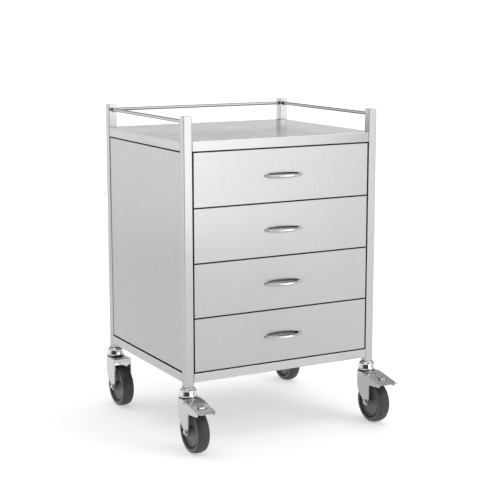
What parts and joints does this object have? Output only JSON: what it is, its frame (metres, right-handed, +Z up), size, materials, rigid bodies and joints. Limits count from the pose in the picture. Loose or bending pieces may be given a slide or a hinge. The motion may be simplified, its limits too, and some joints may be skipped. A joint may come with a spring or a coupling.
{
  "type": "instrument cart",
  "caption": "Stainless steel instrument trolley with a three-sided guard rail, sliding drawers with pressed finger pulls, and swivel casters, the front ones with brake pedals.",
  "frame": {"origin": "on the floor, under the middle of the whole footprint with the casters trailing to the front", "axes": "+Z up, the drawers face and open towards -Y, +X to the right of someone who faces the drawers"},
  "size_m": [0.6624, 0.6774, 0.9298],
  "materials": {
    "satin_tube": "satin",
    "satin_sheet": "satin",
    "pull_steel": "polished",
    "polished_chrome": "polished",
    "zinc_steel": "satin",
    "runner_coat": "satin",
    "tyre_rubber": "matte",
    "core_resin": "matte"
  },
  "bodies": {
    "frame": {"post_front_left": "satin_tube", "post_front_right": "satin_tube", "post_rear_left": "satin_tube", "post_rear_right": "satin_tube", "bottom_rail_front": "satin_tube", "bottom_rail_rear": "satin_tube", "bottom_rail_left": "satin_tube", "bottom_rail_right": "satin_tube", "top_panel": "satin_sheet", "back_panel": "satin_sheet", "side_panel_left": "satin_sheet", "side_panel_right": "satin_sheet", "base_panel": "satin_sheet", "guard_rail_rear": "satin_tube", "guard_rail_left": "satin_tube", "guard_rail_right": "satin_tube", "runner_rack_left": "runner_coat", "runner_rack_right": "runner_coat", "caster_front_left_cup": "polished_chrome", "caster_front_right_cup": "polished_chrome", "caster_rear_left_cup": "polished_chrome", "caster_rear_right_cup": "polished_chrome"},
    "drawer_1": {"drawer_1_front": "satin_sheet", "drawer_1_tray": "satin_sheet", "drawer_1_pull": "pull_steel", "drawer_1_runner_left": "runner_coat", "drawer_1_runner_right": "runner_coat"},
    "drawer_2": {"drawer_2_front": "satin_sheet", "drawer_2_tray": "satin_sheet", "drawer_2_pull": "pull_steel", "drawer_2_runner_left": "runner_coat", "drawer_2_runner_right": "runner_coat"},
    "drawer_3": {"drawer_3_front": "satin_sheet", "drawer_3_tray": "satin_sheet", "drawer_3_pull": "pull_steel", "drawer_3_runner_left": "runner_coat", "drawer_3_runner_right": "runner_coat"},
    "drawer_4": {"drawer_4_front": "satin_sheet", "drawer_4_tray": "satin_sheet", "drawer_4_pull": "pull_steel", "drawer_4_runner_left": "runner_coat", "drawer_4_runner_right": "runner_coat"},
    "caster_front_left": {"caster_front_left_fork": "zinc_steel", "caster_front_left_axle_bolt": "zinc_steel"},
    "wheel_front_left": {"caster_front_left_tyre": "tyre_rubber", "caster_front_left_wheel_core": "core_resin"},
    "pedal_front_left": {"caster_front_left_pedal": "zinc_steel"},
    "caster_front_right": {"caster_front_right_fork": "zinc_steel", "caster_front_right_axle_bolt": "zinc_steel"},
    "wheel_front_right": {"caster_front_right_tyre": "tyre_rubber", "caster_front_right_wheel_core": "core_resin"},
    "pedal_front_right": {"caster_front_right_pedal": "zinc_steel"},
    "caster_rear_left": {"caster_rear_left_fork": "zinc_steel", "caster_rear_left_axle_bolt": "zinc_steel"},
    "wheel_rear_left": {"caster_rear_left_tyre": "tyre_rubber", "caster_rear_left_wheel_core": "core_resin"},
    "caster_rear_right": {"caster_rear_right_fork": "zinc_steel", "caster_rear_right_axle_bolt": "zinc_steel"},
    "wheel_rear_right": {"caster_rear_right_tyre": "tyre_rubber", "caster_rear_right_wheel_core": "core_resin"}
  },
  "joints": [
    {"name": "drawer_1_slide", "type": "slide", "parent": "frame", "child": "drawer_1", "axis": [0, -1, 0], "range_m": [0, 0.34]},
    {"name": "drawer_2_slide", "type": "slide", "parent": "frame", "child": "drawer_2", "axis": [0, -1, 0], "range_m": [0, 0.34]},
    {"name": "drawer_3_slide", "type": "slide", "parent": "frame", "child": "drawer_3", "axis": [0, -1, 0], "range_m": [0, 0.34]},
    {"name": "drawer_4_slide", "type": "slide", "parent": "frame", "child": "drawer_4", "axis": [0, -1, 0], "range_m": [0, 0.34]},
    {"name": "caster_front_left_swivel", "type": "hinge", "parent": "frame", "child": "caster_front_left", "pos_m": [-0.2975, -0.2047, 0.1436], "axis": [0, 0, 1], "continuous": true},
    {"name": "wheel_front_left_spin", "type": "hinge", "parent": "caster_front_left", "child": "wheel_front_left", "pos_m": [-0.2975, -0.2447, 0.0625], "axis": [1, 0, 0], "continuous": true},
    {"name": "pedal_front_left_press", "type": "hinge", "parent": "caster_front_left", "child": "pedal_front_left", "pos_m": [-0.2975, -0.2357, 0.1428], "axis": [1, 0, 0], "range_deg": [0, 8]},
    {"name": "caster_front_right_swivel", "type": "hinge", "parent": "frame", "child": "caster_front_right", "pos_m": [0.2975, -0.2047, 0.1436], "axis": [0, 0, 1], "continuous": true},
    {"name": "wheel_front_right_spin", "type": "hinge", "parent": "caster_front_right", "child": "wheel_front_right", "pos_m": [0.2975, -0.2447, 0.0625], "axis": [1, 0, 0], "continuous": true},
    {"name": "pedal_front_right_press", "type": "hinge", "parent": "caster_front_right", "child": "pedal_front_right", "pos_m": [0.2975, -0.2357, 0.1428], "axis": [1, 0, 0], "range_deg": [0, 8]},
    {"name": "caster_rear_left_swivel", "type": "hinge", "parent": "frame", "child": "caster_rear_left", "pos_m": [-0.2975, 0.3103, 0.1436], "axis": [0, 0, 1], "continuous": true},
    {"name": "wheel_rear_left_spin", "type": "hinge", "parent": "caster_rear_left", "child": "wheel_rear_left", "pos_m": [-0.2975, 0.2703, 0.0625], "axis": [1, 0, 0], "continuous": true},
    {"name": "caster_rear_right_swivel", "type": "hinge", "parent": "frame", "child": "caster_rear_right", "pos_m": [0.2975, 0.3103, 0.1436], "axis": [0, 0, 1], "continuous": true},
    {"name": "wheel_rear_right_spin", "type": "hinge", "parent": "caster_rear_right", "child": "wheel_rear_right", "pos_m": [0.2975, 0.2703, 0.0625], "axis": [1, 0, 0], "continuous": true}
  ]
}
